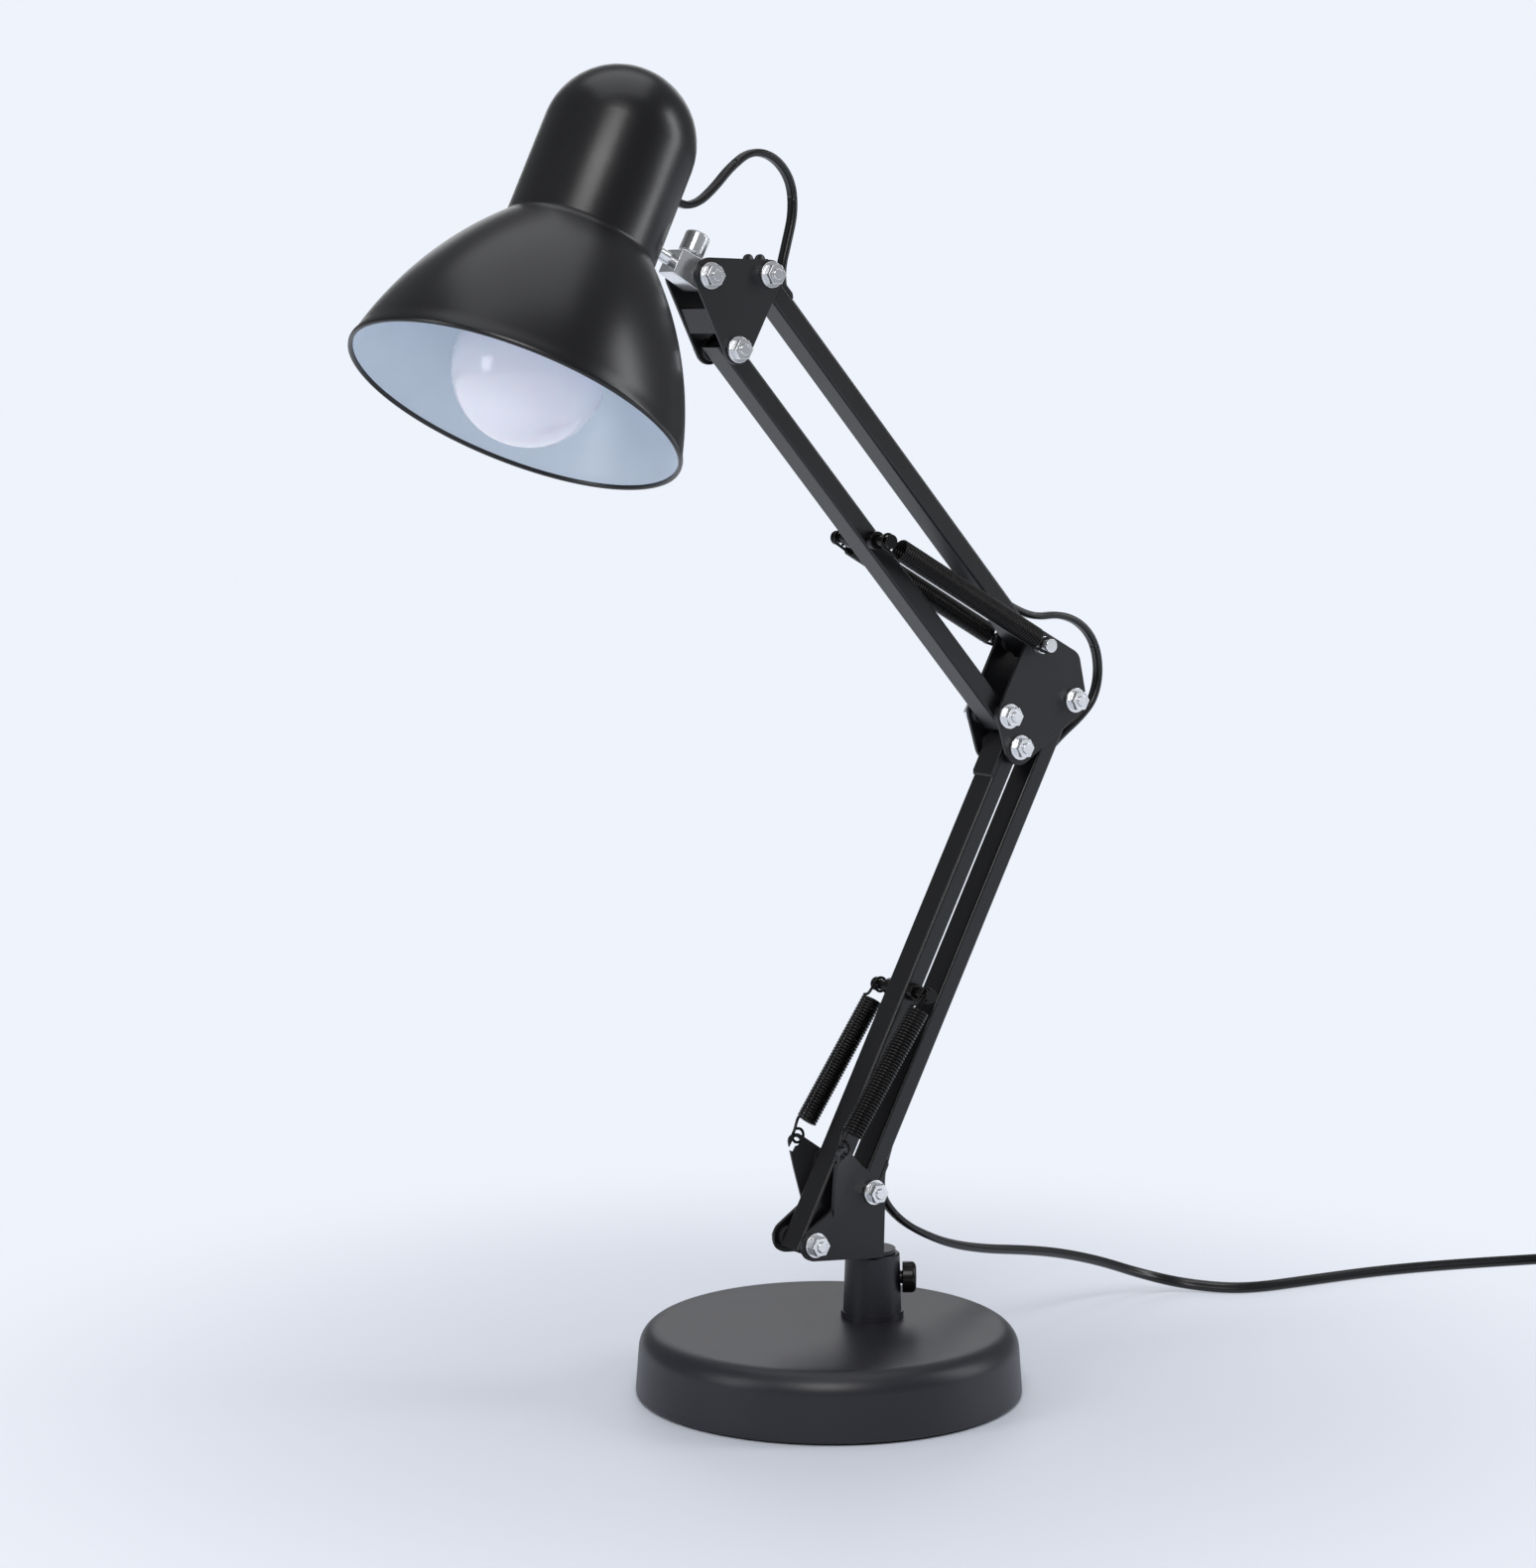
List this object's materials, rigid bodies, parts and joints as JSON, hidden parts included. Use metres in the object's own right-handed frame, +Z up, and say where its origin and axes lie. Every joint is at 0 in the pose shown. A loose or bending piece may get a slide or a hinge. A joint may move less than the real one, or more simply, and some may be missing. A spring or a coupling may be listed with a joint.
{
  "type": "desk lamp",
  "caption": "Desk lamp with a round weighted base, two sprung parallelogram arms, a bell shade with a bulb and a mains lead.",
  "frame": {"origin": "middle of the base's underside, on the table", "axes": "+Z up; the arms lie in the XZ plane and the shade points to -X; +Y is the side away from the picture's viewer"},
  "size_m": [0.6184, 0.2844, 0.5041],
  "materials": {
    "base_paint": "satin",
    "base_iron": "rough",
    "pad_rubber": "matte",
    "bright_zinc": "bright plated",
    "bracket_paint": "satin",
    "arm_paint": "satin",
    "bush_nylon": "satin",
    "spring_steel": "oiled black",
    "cord_vinyl": "satin",
    "soft_vinyl": "matte",
    "shade_paint": "satin outside, pale inside",
    "holder_phenolic": "satin",
    "plated_steel": "brushed",
    "bulb_glass": "opal",
    "bulb_plastic": "gloss",
    "cap_metal": "bright",
    "switch_plastic": "gloss",
    "rocker_plastic": "gloss",
    "pin_brass": "bright"
  },
  "bodies": {
    "base": {"base_shell": "base_paint", "base_weight": "base_iron", "base_pad": "pad_rubber", "post": "base_paint", "post_bolt": "bright_zinc", "post_bolt_washer": "bright_zinc", "cord_tail": "cord_vinyl", "cord_coil": "cord_vinyl", "cord_end": "cord_vinyl", "switch_lower_case": "switch_plastic", "switch_upper_case": "switch_plastic", "plug_body": "switch_plastic", "plug_pins": "pin_brass"},
    "clamp": {"clamp_screw": "spring_steel"},
    "rocker": {"switch_rocker": "rocker_plastic"},
    "turntable": {"lower_bracket": "bracket_paint", "swivel_pin": "bright_zinc", "lower_bolts": "bright_zinc", "lower_nuts": "bright_zinc", "lower_washers": "bright_zinc", "lower_spring_near": "spring_steel", "lower_spring_far": "spring_steel"},
    "lower_front_bar": {"front_bar": "arm_paint", "front_bar_bushes": "bush_nylon", "lower_spring_pin": "spring_steel"},
    "lower_rear_bar": {"rear_bar": "arm_paint", "rear_bar_bushes": "bush_nylon", "rear_bar_cord": "cord_vinyl", "cord_relief": "soft_vinyl"},
    "elbow": {"elbow_bracket": "bracket_paint", "elbow_bolts": "bright_zinc", "elbow_nuts": "bright_zinc", "elbow_washers": "bright_zinc", "elbow_spring_pin": "bright_zinc", "elbow_cord_loop": "cord_vinyl", "upper_spring_near": "spring_steel", "upper_spring_far": "spring_steel"},
    "upper_top_bar": {"top_bar": "arm_paint", "top_bar_bushes": "bush_nylon", "top_bar_cord": "cord_vinyl"},
    "upper_under_bar": {"under_bar": "arm_paint", "under_bar_bushes": "bush_nylon", "upper_spring_pin": "spring_steel"},
    "head": {"head_bracket": "bracket_paint", "head_bolts": "bright_zinc", "head_nuts": "bright_zinc", "head_washers": "bright_zinc", "head_cord_loop": "cord_vinyl"},
    "tilt_knuckle": {"knuckle": "bright_zinc"},
    "thumb": {"thumb_nut": "bright_zinc"},
    "shade": {"shade_rod": "bright_zinc", "rod_nut": "bright_zinc", "shade_shell": "shade_paint", "holder_bridge": "plated_steel", "holder_ring_nut": "plated_steel", "lamp_holder": "holder_phenolic", "bulb_collar": "bulb_plastic", "bulb_cap": "cap_metal", "bulb_globe": "bulb_glass", "neck_grommet": "soft_vinyl"}
  },
  "joints": [
    {"name": "yaw", "type": "hinge", "parent": "base", "child": "turntable", "pos_m": [0.021, 0, 0.0522], "axis": [0, 0, 1], "range_deg": [-120, 120], "deforming": ["cord_tail"]},
    {"name": "clamp_turn", "type": "hinge", "parent": "base", "child": "clamp", "pos_m": [0.021, 0, 0.042], "axis": [0.809, -0.5878, 0], "range_deg": [-90, 90]},
    {"name": "switch_rocker_turn", "type": "hinge", "parent": "base", "child": "rocker", "pos_m": [0.36318, -0.12719, 0.0174], "axis": [-0.6827, 0.7307, 0], "range_deg": [0, 7]},
    {"name": "shoulder", "type": "hinge", "parent": "turntable", "child": "lower_rear_bar", "pos_m": [0.0141, 0, 0.07855], "axis": [0, -1, 0], "range_deg": [-14, 43]},
    {"name": "front_bar_pivot", "type": "hinge", "parent": "turntable", "child": "lower_front_bar", "pos_m": [-0.0137, 0, 0.0615], "axis": [0, -1, 0], "range_deg": [-14, 43], "deforming": ["lower_spring_near", "lower_spring_far"]},
    {"name": "elbow_level", "type": "hinge", "parent": "lower_rear_bar", "child": "elbow", "pos_m": [0.11269, 0, 0.26397], "axis": [0, -1, 0], "range_deg": [-43, 14]},
    {"name": "elbow_bend", "type": "hinge", "parent": "elbow", "child": "upper_top_bar", "pos_m": [0.09414, 0, 0.28692], "axis": [0, -1, 0], "range_deg": [-25, 50], "deforming": ["elbow_cord_loop"]},
    {"name": "under_bar_pivot", "type": "hinge", "parent": "elbow", "child": "upper_under_bar", "pos_m": [0.07934, 0, 0.25952], "axis": [0, -1, 0], "range_deg": [-25, 50], "deforming": ["upper_spring_near", "upper_spring_far"]},
    {"name": "head_level", "type": "hinge", "parent": "upper_top_bar", "child": "head", "pos_m": [-0.03458, 0, 0.42938], "axis": [0, -1, 0], "range_deg": [-50, 25]},
    {"name": "shade_tilt", "type": "hinge", "parent": "head", "child": "tilt_knuckle", "pos_m": [-0.06168, 0, 0.42873], "axis": [0, -1, 0], "range_deg": [-60, 25], "deforming": ["head_cord_loop"]},
    {"name": "thumb_turn", "type": "hinge", "parent": "tilt_knuckle", "child": "thumb", "pos_m": [-0.06656, 0, 0.43127], "axis": [0.4618, 0, 0.887], "range_deg": [-90, 90]},
    {"name": "shade_swivel", "type": "hinge", "parent": "tilt_knuckle", "child": "shade", "pos_m": [-0.06168, 0, 0.42873], "axis": [-0.887, 0, 0.4618], "range_deg": [-90, 90]}
  ],
  "couplings": [
    {"joint": "front_bar_pivot", "follows": "shoulder", "ratio": 1},
    {"joint": "elbow_level", "follows": "shoulder", "ratio": -1},
    {"joint": "under_bar_pivot", "follows": "elbow_bend", "ratio": 1},
    {"joint": "head_level", "follows": "elbow_bend", "ratio": -1}
  ]
}
